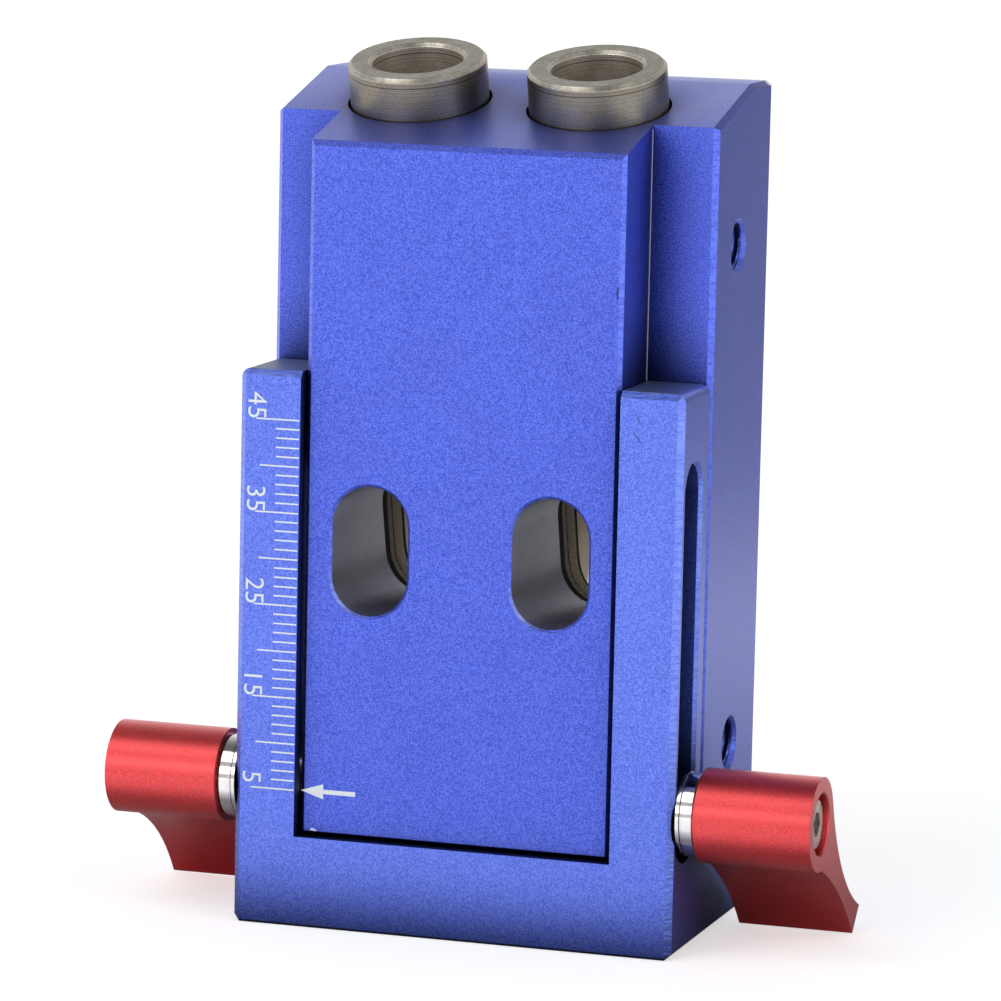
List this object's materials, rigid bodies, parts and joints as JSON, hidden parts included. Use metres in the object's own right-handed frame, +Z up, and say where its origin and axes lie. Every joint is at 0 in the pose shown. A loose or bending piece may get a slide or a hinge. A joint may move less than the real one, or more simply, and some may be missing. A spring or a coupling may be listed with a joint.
{
  "type": "pocket hole jig",
  "caption": "Twin pocket hole drilling guide with steel bushings, chip windows, a sliding U-shaped depth stop and two sprung clamp levers.",
  "frame": {"origin": "on the underside of the stop, in the middle of the jig's width and depth", "axes": "+Z up along the guide block, +Y from the front with the chip windows to the back that lies on the board, +X to the right"},
  "size_m": [0.079, 0.0404, 0.0949],
  "materials": {
    "blue_anodised": "fine blasted and blue anodised, satin",
    "red_anodised": "fine blasted and red anodised, satin",
    "bushing_steel": "hardened and ground, brownish grey",
    "chrome": "plated, bright",
    "spring_steel": "drawn wire",
    "screw_steel": "plain steel screw"
  },
  "bodies": {
    "stop": {"sliding_stop": "blue_anodised"},
    "guide": {"guide_block": "blue_anodised", "left_drill_bushing": "bushing_steel", "right_drill_bushing": "bushing_steel"},
    "left_washer": {"left_clamp_washer": "chrome"},
    "left_stud": {"left_clamp_stud": "chrome", "left_retaining_screw": "screw_steel", "left_lever_spring": "spring_steel"},
    "left_lever": {"left_clamp_lever": "red_anodised"},
    "right_washer": {"right_clamp_washer": "chrome"},
    "right_stud": {"right_clamp_stud": "chrome", "right_retaining_screw": "screw_steel", "right_lever_spring": "spring_steel"},
    "right_lever": {"right_clamp_lever": "red_anodised"}
  },
  "joints": [
    {"name": "guide_slide", "type": "slide", "parent": "stop", "child": "guide", "axis": [0, 0, 1], "range_m": [0, 0.0343]},
    {"name": "left_clamp_lift", "type": "slide", "parent": "guide", "child": "left_washer", "axis": [-1, 0, 0], "range_m": [0, 0.001]},
    {"name": "left_clamp_turn", "type": "hinge", "parent": "left_washer", "child": "left_stud", "pos_m": [0, -0.01512, 0.0151], "axis": [-1, 0, 0], "range_deg": [0, 360]},
    {"name": "left_lever_pull", "type": "slide", "parent": "left_stud", "child": "left_lever", "axis": [-1, 0, 0], "range_m": [0, 0.0024], "stiffness_N_per_m": 530, "springref_m": -0.002, "deforming": ["left_lever_spring"]},
    {"name": "right_clamp_lift", "type": "slide", "parent": "guide", "child": "right_washer", "axis": [1, 0, 0], "range_m": [0, 0.001]},
    {"name": "right_clamp_turn", "type": "hinge", "parent": "right_washer", "child": "right_stud", "pos_m": [0, -0.01512, 0.0151], "axis": [1, 0, 0], "range_deg": [0, 360]},
    {"name": "right_lever_pull", "type": "slide", "parent": "right_stud", "child": "right_lever", "axis": [1, 0, 0], "range_m": [0, 0.0024], "stiffness_N_per_m": 530, "springref_m": -0.002, "deforming": ["right_lever_spring"]}
  ],
  "couplings": [
    {"joint": "left_clamp_lift", "follows": "left_clamp_turn", "m_per_rad": 0.000159},
    {"joint": "right_clamp_lift", "follows": "right_clamp_turn", "m_per_rad": 0.000159}
  ]
}
